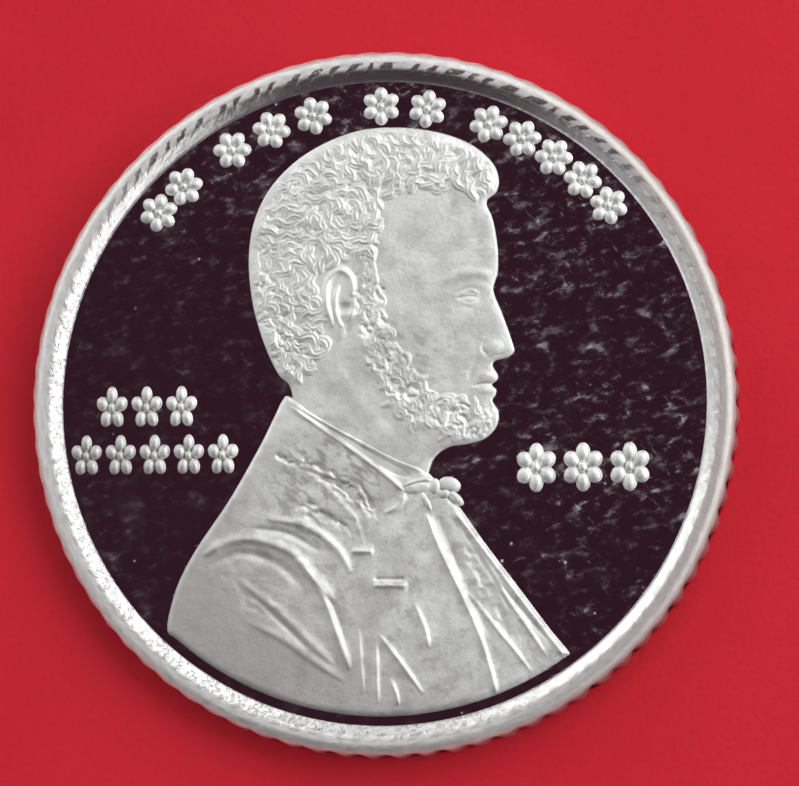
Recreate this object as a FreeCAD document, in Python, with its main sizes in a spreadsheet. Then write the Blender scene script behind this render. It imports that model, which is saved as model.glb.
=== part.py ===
import FreeCAD, Part
import math
import os

import Sketcher
from FreeCAD import Vector

# A round coin capsule: two clear shells that push together, a red pad with a
# shallow seat between them, and a small reeded silver round lying in the seat.
# Frame: +Z up, origin at the centre of the face that the capsule rests on.

# Driving dimensions in millimetres, apart from the counts: alias, value, meaning.
DIMENSIONS = [
    ("coin_diameter", 12.0, "outside of the coin's reeds"),
    ("rim_thickness", 1.05, "coin's height over its two rims"),
    ("field_thickness", 0.81, "coin's height between its flat fields"),
    ("rim_width", 0.5, "radial width of the raised rim"),
    ("rim_slope", 0.2, "radial width of the slope from field to rim"),
    ("rim_round", 0.13, "radius of the rim's outer shoulder"),
    ("reed_count", 80, "reeds round the edge"),
    ("reed_depth", 0.07, "depth of the groove between two reeds"),
    ("reed_groove_radius", 0.16, "radius of that groove"),
    ("bust_relief", 0.1, "height of the bust over the field"),
    ("bust_margin", 0.18, "gap between the bust's cut-off and the rim"),
    ("ornament_relief", 0.07, "height of the small ornaments over the field"),
    ("legend_margin", 0.12, "gap between the ornaments on the arc and the rim"),
    ("legend_radius", 0.29, "radius of an ornament on the arc"),
    ("rosette_radius", 0.35, "radius of a rosette beside the bust"),
    ("pellet_radius", 0.24, "radius of a pellet beside the bust"),
    ("medallion_radius", 2.6, "radius of the plain disc on the coin's back"),
    ("pad_diameter", 25.0, "outside of the soft pad"),
    ("pad_thickness", 2.4, "height of the pad"),
    ("pad_round", 0.25, "radius of the pad's outer edges"),
    ("seat_depth", 0.35, "how deep the coin sits in the pad"),
    ("seat_clearance", 0.05, "radial gap between coin and seat"),
    ("pad_clearance", 0.1, "radial gap between pad and shell"),
    ("floor_thickness", 1.3, "window of the lower shell"),
    ("window_thickness", 1.3, "window of the upper shell"),
    ("tongue_thickness", 1.1, "wall of the lower shell inside the skirt"),
    ("skirt_thickness", 1.3, "wall of the upper shell outside the tongue"),
    ("fit_clearance", 0.12, "radial gap between tongue and skirt"),
    ("seam_height", 3.0, "height of the seam over the table"),
    ("seam_gap", 0.06, "gap between the two lips at the seam"),
    ("lip_width", 0.6, "how far the lips stand out"),
    ("lip_thickness", 0.8, "height of one lip"),
    ("lip_round", 0.2, "radius of the lips' outer corners"),
    ("coin_headroom", 0.15, "gap between the coin and the upper window"),
    ("press_width", 1.0, "radial width of the ring that holds the pad down"),
    ("press_gap", 0.05, "gap between that ring and the pad"),
    ("foot_height", 0.5, "depth of the stacking recess under the capsule"),
    ("foot_width", 1.5, "radial width of the foot ring"),
    ("ridge_height", 0.4, "height of the stacking ridge on the lid"),
    ("ridge_width", 1.2, "radial width of the stacking ridge"),
    ("ridge_round", 0.1, "radius of the ridge's top edges"),
    ("stack_clearance", 0.2, "radial gap between ridge and recess"),
    ("shell_round", 0.35, "radius of the shells' outer edges"),
    ("grip_rib_count", 6, "fine ribs that make the push fit"),
    ("grip_rib_width", 0.6, "width of such a rib"),
    ("grip_rib_play", 0.03, "radial gap between rib and skirt"),
    ("grip_rib_lead", 0.5, "how far a rib stops below the tongue's top"),
    ("notch_radius", 6.0, "radius of the thumbnail notch in the lid's lip"),
    ("notch_depth", 0.42, "depth of that notch"),
]

# Where the small ornaments stand on the arc: groups from left to right, in degrees.
LEGEND_GROUPS = [(139.5, 132.5), (120.8, 112.3, 103.8), (90.5, 81.5), (69.3, 62.2, 55.1, 48.0, 40.9)]

# Rows beside the bust: how many, and their middle as shares of the field's radius.
PELLET_ROWS = [(3, -0.735, -0.01), (5, -0.71, -0.157)]
ROSETTE_ROW = (3, 0.615, -0.21)
ROW_PITCH = 2.25  # from one middle to the next, in radii


class Size:
    """A length, kept both as a spreadsheet expression and as its present value."""

    def __init__(self, text, value):
        self.text = text
        self.value = value

    def __add__(self, other):
        other = size(other)
        return Size(f"({self.text} + {other.text})", self.value + other.value)

    def __sub__(self, other):
        other = size(other)
        return Size(f"({self.text} - {other.text})", self.value - other.value)

    def __mul__(self, other):
        other = size(other)
        return Size(f"({self.text} * {other.text})", self.value * other.value)

    def __truediv__(self, other):
        other = size(other)
        return Size(f"({self.text} / {other.text})", self.value / other.value)

    def __neg__(self):
        return Size(f"(0 - {self.text})", -self.value)


def size(value):
    """A plain number as a Size."""
    return value if isinstance(value, Size) else Size(f"{value:.6g}", float(value))


NOTHING = Size("0", 0.0)

doc = FreeCAD.newDocument("coin_capsule")
sheet = doc.addObject("Spreadsheet::Sheet", "Dims")
for row, (alias, value, meaning) in enumerate(DIMENSIONS, start=1):
    sheet.set(f"A{row}", alias)
    sheet.set(f"B{row}", str(value))
    sheet.set(f"C{row}", meaning)
    sheet.setAlias(f"B{row}", alias)
doc.recompute()


def dim(alias):
    """A driving dimension from the sheet."""
    return Size(f"Dims.{alias}", float(sheet.get(alias)))


def bind(thing, place, length):
    """Ties a property of a feature to the sheet."""
    thing.setExpression(place, length.text)


# Places that several pieces share, from the table upwards.
coin_radius = dim("coin_diameter") / 2
field_radius = coin_radius - dim("rim_width")
field_sink = (dim("rim_thickness") - dim("field_thickness")) / 2
field_top = dim("rim_thickness") - field_sink
pad_radius = dim("pad_diameter") / 2
tongue_inner = pad_radius + dim("pad_clearance")
tongue_outer = tongue_inner + dim("tongue_thickness")
skirt_inner = tongue_outer + dim("fit_clearance")
skirt_outer = skirt_inner + dim("skirt_thickness")
lip_outer = skirt_outer + dim("lip_width")
recess_radius = skirt_outer - dim("foot_width")
ridge_outer = recess_radius - dim("stack_clearance")
floor_top = dim("foot_height") + dim("floor_thickness")
pad_top = floor_top + dim("pad_thickness")
coin_bottom = pad_top - dim("seat_depth")
ceiling = coin_bottom + dim("rim_thickness") + dim("coin_headroom")


# ------------------------------------------------------------------ sketch helpers
def origin_plane(body, role):
    return next(feature for feature in body.Origin.OriginFeatures if feature.Role == role)


def new_sketch(body, name, role, height=None):
    """An empty sketch on one of the body's own planes, lifted by height."""
    sketch = body.newObject("Sketcher::SketchObject", name)
    sketch.AttachmentSupport = [(origin_plane(body, role), "")]
    sketch.MapMode = "FlatFace"
    if height is not None:
        bind(sketch, "AttachmentOffset.Base.z", height)
    return sketch


def pin_point(sketch, number, position, x, y):
    """Holds one sketch point at (x, y)."""
    for kind, axis, length in (("DistanceX", -2, x), ("DistanceY", -1, y)):
        if length is NOTHING:
            sketch.addConstraint(Sketcher.Constraint("PointOnObject", number, position, axis))
            continue
        made = sketch.addConstraint(Sketcher.Constraint(kind, -1, 1, number, position, length.value))
        bind(sketch, f"Constraints[{made}]", length)


def arc_edge(start, finish, radius):
    """The shorter arc of this radius between two points, bulging to the right of the way it runs."""
    along = finish - start
    middle = (start + finish) / 2
    rise = math.sqrt(radius * radius - along.Length * along.Length / 4)
    centre = middle + Vector(-along.y, along.x, 0).normalize() * rise
    turns = [math.atan2(end.y - centre.y, end.x - centre.x) for end in (start, finish)]
    return Part.ArcOfCircle(Part.Circle(centre, Vector(0, 0, 1), radius), *turns)


def draw_outline(sketch, corners):
    """A closed outline, run anticlockwise. A corner is (x, y), or (x, y, radius) where an arc leaves it."""
    points = [Vector(corner[0].value, corner[1].value, 0) for corner in corners]
    numbers = []
    for index, corner in enumerate(corners):
        start, finish = points[index], points[(index + 1) % len(points)]
        if len(corner) == 2:
            numbers.append(sketch.addGeometry(Part.LineSegment(start, finish), False))
            continue
        numbers.append(sketch.addGeometry(arc_edge(start, finish, corner[2].value), False))
        held = sketch.addConstraint(Sketcher.Constraint("Radius", numbers[-1], corner[2].value))
        bind(sketch, f"Constraints[{held}]", corner[2])
    for number, after in zip(numbers, numbers[1:] + numbers[:1]):
        sketch.addConstraint(Sketcher.Constraint("Coincident", number, 2, after, 1))
    for number, corner in zip(numbers, corners):
        pin_point(sketch, number, 1, corner[0], corner[1])


def draw_circle(sketch, x, y, radius):
    number = sketch.addGeometry(Part.Circle(Vector(x.value, y.value, 0), Vector(0, 0, 1), radius.value), False)
    held = sketch.addConstraint(Sketcher.Constraint("Radius", number, radius.value))
    bind(sketch, f"Constraints[{held}]", radius)
    pin_point(sketch, number, 3, x, y)


# ----------------------------------------------------------------- feature helpers
def new_body(name):
    body = doc.addObject("PartDesign::Body", name)
    body.Label = name
    return body


def revolve(body, name, corners):
    """Turns a half section (radius, height) about the body's Z axis."""
    sketch = new_sketch(body, f"{name}_section", "XZ_Plane")
    draw_outline(sketch, corners)
    feature = body.newObject("PartDesign::Revolution", name)
    feature.Profile = sketch
    feature.ReferenceAxis = (sketch, ["V_Axis"])
    feature.Angle = 360
    doc.recompute()
    return feature


def extrude(body, name, sketch, length, downwards=False):
    feature = body.newObject("PartDesign::Pad", name)
    feature.Profile = sketch
    feature.Reversed = downwards
    bind(feature, "Length", length)
    doc.recompute()
    return feature


def cut(body, name, sketch, length=None):
    """Cuts upwards from the sketch by length, or right through where there is none."""
    before = body.Shape.Volume
    feature = body.newObject("PartDesign::Pocket", name)
    feature.Profile = sketch
    if length is None:
        feature.Type = "ThroughAll"
        feature.SideType = "Symmetric"
    else:
        feature.Reversed = True
        bind(feature, "Length", length)
    doc.recompute()
    if not feature.Shape.Volume < before:
        raise RuntimeError(f"{name} cuts nothing")
    return feature


def around(body, name, feature, count):
    """Repeats a feature evenly round the Z axis."""
    pattern = body.newObject("PartDesign::PolarPattern", name)
    pattern.Originals = [feature]
    pattern.Axis = (origin_plane(body, "Z_Axis"), [""])
    pattern.Angle = 360
    bind(pattern, "Occurrences", count)
    body.Tip = pattern
    doc.recompute()
    return pattern


# --------------------------------------------------------------------- lower shell
def make_base():
    """Clear dish with a foot ring, a lip at the seam and a tongue inside the lid."""
    body = new_body("capsule_base")
    edge = dim("shell_round")
    lip_edge = dim("lip_round")
    lip_under = dim("seam_height") - dim("lip_thickness")
    revolve(body, "dish", [
        (NOTHING, dim("foot_height")),
        (recess_radius, dim("foot_height")),
        (recess_radius, NOTHING),
        (skirt_outer - edge, NOTHING, edge),
        (skirt_outer, edge),
        (skirt_outer, lip_under),
        (lip_outer - lip_edge, lip_under, lip_edge),
        (lip_outer, lip_under + lip_edge),
        (lip_outer, dim("seam_height")),
        (tongue_outer, dim("seam_height")),
        (tongue_outer, ceiling - lip_edge, lip_edge),
        (tongue_outer - lip_edge, ceiling),
        (tongue_inner, ceiling),
        (tongue_inner, floor_top),
        (NOTHING, floor_top),
    ])
    rib_sketch = new_sketch(body, "grip_rib_outline", "XY_Plane", dim("seam_height"))
    rib_half = dim("grip_rib_width") / 2
    rib_tip = skirt_inner - dim("grip_rib_play")
    rib_root = tongue_outer - dim("fit_clearance")
    draw_outline(rib_sketch, [
        (rib_root, -rib_half),
        (rib_tip, -rib_half),
        (rib_tip, rib_half),
        (rib_root, rib_half),
    ])
    rib = extrude(body, "grip_rib", rib_sketch, ceiling - dim("seam_height") - dim("grip_rib_lead"))
    around(body, "grip_ribs", rib, dim("grip_rib_count"))
    return body


# --------------------------------------------------------------------- upper shell
def make_lid():
    """Clear lid: window, skirt, lip, pad-holding ring and stacking ridge. Z is 0 at its ceiling."""
    body = new_body("capsule_lid")
    edge = dim("shell_round")
    lip_edge = dim("lip_round")
    skirt_end = dim("seam_height") + dim("seam_gap") - ceiling
    lip_top = skirt_end + dim("lip_thickness")
    press_outer = tongue_inner - dim("pad_clearance")
    press_inner = press_outer - dim("press_width")
    press_end = pad_top + dim("press_gap") - ceiling
    ridge_inner = ridge_outer - dim("ridge_width")
    ridge_top = dim("window_thickness") + dim("ridge_height")
    ridge_edge = dim("ridge_round")
    revolve(body, "shell", [
        (NOTHING, NOTHING),
        (press_inner, NOTHING),
        (press_inner, press_end),
        (press_outer, press_end),
        (press_outer, NOTHING),
        (skirt_inner, NOTHING),
        (skirt_inner, skirt_end),
        (lip_outer, skirt_end),
        (lip_outer, lip_top - lip_edge, lip_edge),
        (lip_outer - lip_edge, lip_top),
        (skirt_outer, lip_top),
        (skirt_outer, dim("window_thickness") - edge, edge),
        (skirt_outer - edge, dim("window_thickness")),
        (ridge_outer, dim("window_thickness")),
        (ridge_outer, ridge_top - ridge_edge, ridge_edge),
        (ridge_outer - ridge_edge, ridge_top),
        (ridge_inner + ridge_edge, ridge_top, ridge_edge),
        (ridge_inner, ridge_top - ridge_edge),
        (ridge_inner, dim("window_thickness")),
        (NOTHING, dim("window_thickness")),
    ])
    notch_sketch = new_sketch(body, "notch_outline", "XY_Plane", skirt_end)
    notch_centre = lip_outer + dim("notch_radius") - dim("notch_depth")
    draw_circle(notch_sketch, NOTHING, -notch_centre, dim("notch_radius"))
    cut(body, "thumbnail_notch", notch_sketch, dim("lip_thickness"))
    bind(body, "Placement.Base.z", ceiling)
    return body


# ------------------------------------------------------------------------- the pad
def make_pad():
    """Soft red disc that fills the dish, with a shallow round seat for the coin."""
    body = new_body("red_pad")
    edge = dim("pad_round")
    seat_radius = coin_radius + dim("seat_clearance")
    seat_floor = dim("pad_thickness") - dim("seat_depth")
    revolve(body, "disc", [
        (NOTHING, NOTHING),
        (pad_radius - edge, NOTHING, edge),
        (pad_radius, edge),
        (pad_radius, dim("pad_thickness") - edge, edge),
        (pad_radius - edge, dim("pad_thickness")),
        (NOTHING, dim("pad_thickness")),
    ])
    seat_sketch = new_sketch(body, "seat_outline", "XY_Plane", seat_floor)
    draw_circle(seat_sketch, NOTHING, NOTHING, seat_radius)
    cut(body, "coin_seat", seat_sketch, dim("seat_depth"))
    bind(body, "Placement.Base.z", floor_top)
    return body


# ------------------------------------------------------------------------ the coin
def polar(radius, angle):
    """A point at this radius and angle, for a sketch."""
    return (radius * round(math.cos(math.radians(angle)), 6),
            radius * round(math.sin(math.radians(angle)), 6))


def bust_corners():
    """Plain silhouette of a head and shoulders in profile, in shares of the field's radius."""
    cut_off = field_radius - dim("bust_margin")
    head = field_radius

    def at(x, y):
        return (head * x, head * y)

    return [
        polar(cut_off, 227.4) + (cut_off,),     # the shoulders' cut-off, along the rim
        polar(cut_off, 306.3),
        at(0.25, -0.33),                        # chest, up to the neckcloth
        at(0.17, -0.20),                        # throat
        at(0.30, -0.12) + (head * 0.12,),       # beard under the chin
        at(0.36, -0.03),
        at(0.345, 0.06),                        # lips
        at(0.345, 0.125),
        at(0.405, 0.155),                       # nose
        at(0.345, 0.345),
        at(0.34, 0.56) + (head * 0.40,),        # forehead and the crown of the head
        at(-0.02, 0.84) + (head * 0.42,),
        at(-0.41, 0.46) + (head * 0.62,),       # back of the head
        at(-0.29, 0.03),                        # nape
        at(-0.47, -0.30) + (head * 0.90,),      # back and shoulder
    ]


def make_coin():
    """Reeded silver round: rounded rims, flat fields, a bust, ornaments and a plain back."""
    body = new_body("coin")
    inner_rim = field_radius + dim("rim_slope")
    edge = dim("rim_round")
    top = dim("rim_thickness")
    revolve(body, "blank", [
        (NOTHING, field_sink),
        (field_radius, field_sink),
        (inner_rim, NOTHING),
        (coin_radius - edge, NOTHING, edge),
        (coin_radius, edge),
        (coin_radius, top - edge, edge),
        (coin_radius - edge, top),
        (inner_rim, top),
        (field_radius, field_top),
        (NOTHING, field_top),
    ])
    groove_sketch = new_sketch(body, "reed_groove_outline", "XY_Plane")
    groove_centre = coin_radius + dim("reed_groove_radius") - dim("reed_depth")
    draw_circle(groove_sketch, groove_centre, NOTHING, dim("reed_groove_radius"))
    groove = cut(body, "reed_groove", groove_sketch)
    around(body, "reeding", groove, dim("reed_count"))

    bust_sketch = new_sketch(body, "bust_outline", "XY_Plane", field_top)
    draw_outline(bust_sketch, bust_corners())
    extrude(body, "bust", bust_sketch, dim("bust_relief"))

    ornament_sketch = new_sketch(body, "ornament_outlines", "XY_Plane", field_top)
    legend_circle = field_radius - dim("legend_margin") - dim("legend_radius")
    for group in LEGEND_GROUPS:
        for angle in group:
            draw_circle(ornament_sketch, *polar(legend_circle, angle), dim("legend_radius"))
    rows = [(dim("pellet_radius"), row) for row in PELLET_ROWS] + [(dim("rosette_radius"), ROSETTE_ROW)]
    for radius, (count, across, up) in rows:
        for step in range(count):
            shift = radius * (ROW_PITCH * (step - (count - 1) / 2))
            draw_circle(ornament_sketch, field_radius * across + shift, field_radius * up, radius)
    extrude(body, "ornaments", ornament_sketch, dim("ornament_relief"))

    back_sketch = new_sketch(body, "back_outline", "XY_Plane", field_sink)
    draw_circle(back_sketch, NOTHING, NOTHING, dim("medallion_radius"))
    extrude(body, "back_medallion", back_sketch, dim("ornament_relief"), downwards=True)
    bind(body, "Placement.Base.z", coin_bottom)
    return body


def check(pieces):
    """Stops if any object failed to build or a piece is not a sound solid."""
    for thing in doc.Objects:
        if "Invalid" in thing.State or "Error" in thing.State:
            raise RuntimeError(f"{thing.Name} failed: {thing.State}")
    for piece in pieces:
        shape = piece.Shape
        if shape.isNull() or not shape.isValid() or not shape.Solids:
            raise RuntimeError(f"{piece.Label} has no valid solid")


pieces = [make_base(), make_lid(), make_pad(), make_coin()]
doc.recompute()
check(pieces)
os.makedirs("parts", exist_ok=True)
for piece in pieces:
    piece.Shape.exportStep(f"parts/{piece.Label}.step")
    box = piece.Shape.BoundBox
    print(f"{piece.Label}: volume {piece.Shape.Volume:.2f} mm3, z {box.ZMin:.3f} to {box.ZMax:.3f}, width {box.XLength:.3f}")
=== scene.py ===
import math
import bmesh
import bpy
import numpy as np
from mathutils import Matrix, Vector


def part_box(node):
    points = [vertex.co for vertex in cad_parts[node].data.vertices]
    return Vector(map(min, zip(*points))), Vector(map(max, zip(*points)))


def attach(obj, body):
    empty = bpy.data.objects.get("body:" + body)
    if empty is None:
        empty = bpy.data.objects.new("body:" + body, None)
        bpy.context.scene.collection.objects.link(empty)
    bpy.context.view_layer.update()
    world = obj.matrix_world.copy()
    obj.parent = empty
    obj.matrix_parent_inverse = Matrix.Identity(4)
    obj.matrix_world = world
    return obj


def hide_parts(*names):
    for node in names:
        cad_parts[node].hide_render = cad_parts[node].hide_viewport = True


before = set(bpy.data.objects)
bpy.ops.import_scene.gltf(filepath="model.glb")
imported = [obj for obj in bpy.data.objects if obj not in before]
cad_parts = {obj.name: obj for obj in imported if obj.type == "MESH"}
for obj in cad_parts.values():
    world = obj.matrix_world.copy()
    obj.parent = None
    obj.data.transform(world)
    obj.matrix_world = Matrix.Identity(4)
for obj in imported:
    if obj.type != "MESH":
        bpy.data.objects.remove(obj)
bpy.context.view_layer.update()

mm = 0.001
coinLow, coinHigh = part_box("coin")
padLow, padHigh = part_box("red_pad")


def metres(*lengths):  # from mm
    return [length * mm for length in lengths]


def rgb(red, green, blue):
    return (red, green, blue, 1.0)


class Value:  # a shader output that plain operators work on
    def __init__(self, finish, socket):
        self.finish = finish
        self.socket = socket

    def maths(self, operation, *others):
        return self.finish.maths(operation, self, *others)

    def __add__(self, other):
        return self.maths("ADD", other)

    def __mul__(self, other):
        return self.maths("MULTIPLY", other)

    def __rsub__(self, other):
        return self.finish.maths("SUBTRACT", other, self)

    def over(self, low, high):  # 0 below low, 1 above high, smooth between
        settings = {"interpolation_type": "SMOOTHSTEP"}
        return self.finish.add("ShaderNodeMapRange", settings, {"Value": self, "From Min": low, "From Max": high})

    def within(self, low, inner, outer, high):  # 1 from inner to outer, 0 below low and above high
        return self.over(low, inner) * (1 - self.over(outer, high))

    def twin(self, output):  # another output of the same node
        return Value(self.finish, self.socket.node.outputs[output])


class Finish:  # the nodes of a material or of the world, every one made by add
    def __init__(self, owner, coordinates="Object"):
        owner.use_nodes = True
        self.owner = owner
        self.tree = owner.node_tree
        self.tree.nodes.clear()
        self.place = self.add("ShaderNodeTexCoord", output=coordinates)

    def add(self, kind, settings={}, inputs={}, output=0):
        made = self.tree.nodes.new(kind)
        for key, value in settings.items():
            if key == "stops":
                self.fill(made.color_ramp.elements, value)
            else:
                setattr(made, key, value)
        for key, value in inputs.items():
            if isinstance(value, Value):
                self.tree.links.new(value.socket, made.inputs[key])
            else:
                made.inputs[key].default_value = value
        return Value(self, made.outputs[output] if len(made.outputs) else None)

    def fill(self, band, stops):  # stops: (position, colour), in rising order
        while len(band) < len(stops):
            band.new(0.5)
        for element, (position, colour) in zip(band, stops):
            element.position = position
            element.color = rgb(*colour)

    def maths(self, operation, *values):
        return self.add("ShaderNodeMath", {"operation": operation}, dict(enumerate(values)))

    def vectorMaths(self, operation, *values, output=0):
        return self.add("ShaderNodeVectorMath", {"operation": operation}, dict(enumerate(values)), output)

    def split(self, vector, output):
        return self.add("ShaderNodeSeparateXYZ", {}, {0: vector}, output)

    def reach(self, axis):  # how far along one axis, in metres
        return self.split(self.place, axis)

    def flatLength(self, vector):
        flat = self.vectorMaths("MULTIPLY", vector, (1, 1, 0))
        return self.vectorMaths("LENGTH", flat, output="Value")

    def outward(self):  # distance from the coin's axis
        return self.flatLength(self.place)

    def near(self, x, y, inner, outer):  # 1 within inner of a spot, 0 beyond outer, in mm
        offset = self.vectorMaths("SUBTRACT", self.place, (x * mm, y * mm, 0))
        return 1 - self.flatLength(offset).over(inner * mm, outer * mm)

    def around(self, radius):  # (length along the circle, distance from the axis)
        x = self.reach("X")
        angle = x.twin("Y").maths("ARCTAN2", x)
        return self.add("ShaderNodeCombineXYZ", {}, {"X": angle * radius, "Y": self.outward()})

    def stretched(self, length, turn, vector=None):  # lumps grow by length along a line turned this many degrees
        inputs = {"Vector": vector or self.place, "Scale": (length, 1, 1), "Rotation": (0, 0, math.radians(turn))}
        return self.add("ShaderNodeMapping", {"vector_type": "TEXTURE"}, inputs)

    def noise(self, size, detail, roughness=0.5, place=None):  # size: one lump, in mm
        inputs = {"Vector": place or self.place, "Scale": 1 / (size * mm), "Detail": detail, "Roughness": roughness}
        return self.add("ShaderNodeTexNoise", {}, inputs)

    def cells(self, size):  # size: one cell, in mm
        return self.add("ShaderNodeTexVoronoi", {"feature": "F1"}, {"Vector": self.place, "Scale": 1 / (size * mm)})

    def blend(self, factor, first, second, how="MIX"):
        settings = {"data_type": "RGBA", "blend_type": how}
        return self.add("ShaderNodeMix", settings, {0: factor, 6: first, 7: second}, output=2)

    def layered(self, tone, *layers):  # each layer is (how much, colour)
        for amount, colour in layers:
            tone = self.blend(amount, tone, rgb(*colour))
        return tone

    def bump(self, height, depth, after=None):  # depth in mm
        inputs = {"Height": height, "Distance": depth * mm, "Strength": 1.0}
        if after:
            inputs["Normal"] = after
        return self.add("ShaderNodeBump", {}, inputs)

    def principled(self, **inputs):
        named = {key.replace("_", " "): value for key, value in inputs.items()}
        return self.add("ShaderNodeBsdfPrincipled", {}, named, output="BSDF")

    def mixShaders(self, factor, first, second):
        return self.add("ShaderNodeMixShader", {}, {0: factor, 1: first, 2: second})

    def wear(self, shader, kind="ShaderNodeOutputMaterial"):
        self.add(kind, {}, {"Surface": shader})
        return self.owner


mirrorMarks = {  # how much each kind of mark dulls the mirror
    "polish": 0.05, "specks": 0.23, "cloud": 0.19, "mist": 0.06, "dust": 0.42, "hairline": 0.05,
}


def makeMirrorSilver(marks):
    look = Finish(bpy.data.materials.new("mirrorSilver"))
    specks = look.noise(0.14, 4, 0.60, look.stretched(2.2, 24)).over(0.52, 0.74)
    crossing = look.noise(0.10, 4, 0.6, look.stretched(2.4, -48)).over(0.56, 0.76)
    patches = look.noise(0.85, 3, 0.6).over(0.32, 0.62)
    dust = (1 - look.cells(0.30).over(0.04, 0.14)) * look.noise(0.7, 1).over(0.55, 0.66)
    hairline = look.noise(0.035, 1, 0.5, look.stretched(26, 27)).over(0.68, 0.80)
    cloud = look.noise(0.20, 4, 0.62, look.stretched(1.5, 10)).over(0.46, 0.70)
    side = (look.reach("X") * 0.7 + look.reach("Y") * 0.6).over(*metres(-3.5, 3.0)) * 0.65 + 0.35
    mist = look.noise(0.55, 3, 0.55).over(0.50, 0.72)
    scratches = ((specks + crossing) * (patches * 0.7 + 0.3) * marks["specks"] + cloud * marks["cloud"]) * side
    dull = scratches + mist * marks["mist"] + dust * marks["dust"] + hairline * marks["hairline"]
    normal = look.bump(look.noise(0.9, 2), 0.0012)
    tone = look.blend(dull, rgb(0.84, 0.79, 0.80), rgb(0.88, 0.87, 0.93))
    return look.wear(look.principled(Base_Color=tone, Metallic=1.0, Roughness=dull + marks["polish"], Normal=normal))


frostTones = {
    "hollow": (0.81, 0.805, 0.79), "bright": (0.98, 0.985, 0.965), "pits": (0.60, 0.585, 0.565),
    # marks and corner are tones for painted shade
    "marks": (0.33, 0.31, 0.30), "coat": (0.58, 0.56, 0.54), "corner": (0.56, 0.53, 0.515),
}


def makeFrostSilver(tones):
    look = Finish(bpy.data.materials.new("frostSilver"))
    sand = look.noise(0.024, 3, 0.7)
    blotch = look.noise(0.45, 4, 0.62)
    pits = look.noise(0.16, 4, 0.65).over(0.54, 0.74)
    normal = look.bump(blotch, 0.020, look.bump(sand, 0.005))
    marks = look.noise(0.13, 3, 0.6, look.stretched(2.2, -38)).over(0.45, 0.62)
    # painted shade: dark streaks laid at three spots, in the beard, under the collar and on the sleeve
    spots = look.near(-0.95, -1.4, 0.6, 1.4) + look.near(0.35, 0.8, 0.3, 0.9) * 0.6
    spots = spots + look.near(-2.2, -3.0, 0.4, 1.6) * 0.4
    coat = (look.reach("Y") * -1).over(*metres(0.3, 1.8)) * look.noise(0.30, 4, 0.68).over(0.50, 0.64)
    # painted shade: the bust's tone darkens towards its lower left corner, away from the key light
    corner = ((look.reach("X") + look.reach("Y")) * -0.7).over(*metres(1.5, 5.0))
    tone = look.layered(
        look.blend(blotch.over(0.36, 0.64), rgb(*tones["hollow"]), rgb(*tones["bright"])),
        (pits * 0.45, tones["pits"]),
        # painted shade in the beard, under the collar and on the sleeve
        (marks * spots * 0.65, tones["marks"]),
        (coat * 0.60, tones["coat"]),
        # painted shade towards the lower left
        (corner * (blotch * 0.6 + 0.45), tones["corner"]),
    )
    return look.wear(look.principled(Base_Color=tone, Metallic=1.0, Roughness=blotch * 0.14 + 0.44, Normal=normal))


rimLook = {  # lengths in mm, out from the axis where they come in pairs or fours
    "flat": (5.65, 5.73), "crest": (5.60, 5.65, 5.72, 5.77), "dashBand": (5.67, 5.71, 5.78, 5.82),
    "wall": (5.85, 5.95), "wallShadeTop": (0.26, 0.16), "dashRadius": 5.75, "dashes": 104, "dashWander": 18.0,
    "dashSlant": 20.0, "streak": 3.5,
}
rimTones = {
    "hollow": (0.82, 0.80, 0.79), "bright": (0.98, 0.965, 0.96), "crest": (0.62, 0.60, 0.60),
    # right and wall are tones for painted shade, right with a painted pink reflection
    "grain": (0.42, 0.39, 0.39), "right": (0.56, 0.49, 0.47), "wall": (0.42, 0.38, 0.38),
    # slope and dashes are tones for painted shade
    "slope": (0.28, 0.23, 0.23), "dashes": (0.09, 0.06, 0.06),
}


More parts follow.
